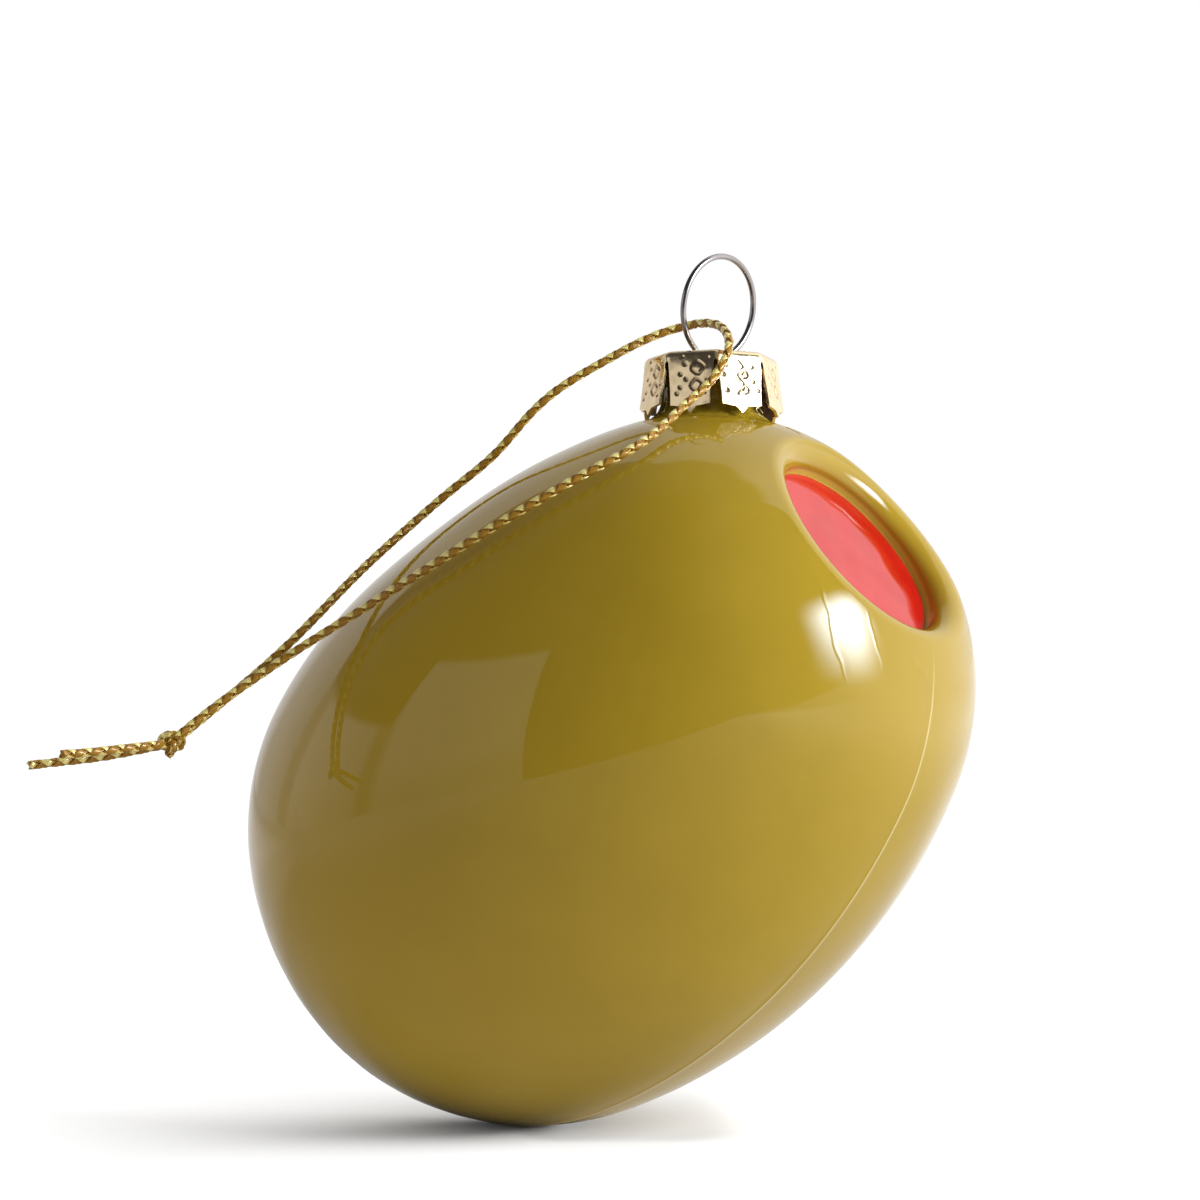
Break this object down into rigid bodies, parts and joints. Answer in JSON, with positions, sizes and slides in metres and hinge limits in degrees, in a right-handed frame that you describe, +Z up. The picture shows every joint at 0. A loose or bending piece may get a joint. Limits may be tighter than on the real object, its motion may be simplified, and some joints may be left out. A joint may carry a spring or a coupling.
{
  "type": "glass olive ornament",
  "caption": "Hollow blown-glass olive ornament with a red enamelled dimple, a pressed crown cap, a rocking spring-wire hanger and a knotted loop of metallic cord.",
  "frame": {"origin": "the hanger's eye: the top inside of the wire loop, where a hook bears", "axes": "+Z is up as the ornament rests in the picture and the pull of a hook in the eye, +X is to the right there, -Y is towards the viewer; the neck leans 10 degrees from +Z towards +Y"},
  "size_m": [0.093, 0.0653, 0.0876],
  "materials": {
    "olive_glass": "glossy blown glass with an opaque olive-green lacquer lining",
    "red_enamel": "glossy red enamel paint",
    "gilt_cap": "bright pale-gold pressed sheet",
    "spring_wire": "bright drawn spring wire",
    "gilt_cord": "plaited gold metallic cord"
  },
  "bodies": {
    "olive": {"glass_olive": "olive_glass", "pimento_enamel": "red_enamel"},
    "cap": {"crown_cap": "gilt_cap"},
    "hanger": {"spring_hanger": "spring_wire"},
    "cord": {"cord_loop": "gilt_cord", "cord_knot": "gilt_cord", "cord_tail_short": "gilt_cord", "cord_tail_long": "gilt_cord"}
  },
  "joints": [
    {"name": "cap_lift", "type": "slide", "parent": "olive", "child": "cap", "axis": [0, 0.1736, 0.9848], "range_m": [0, 0.025]},
    {"name": "hanger_rock", "type": "hinge", "parent": "cap", "child": "hanger", "pos_m": [-0.00141, -0.00043, -0.00997], "axis": [0.682, 0.7202, -0.127], "range_deg": [-22, 0]},
    {"name": "cord_swing", "type": "hinge", "parent": "cap", "child": "cord", "pos_m": [-0.00092, -0.0025, -0.0057], "axis": [-0.2588, 0.9513, -0.1677], "range_deg": [0, 75]}
  ]
}
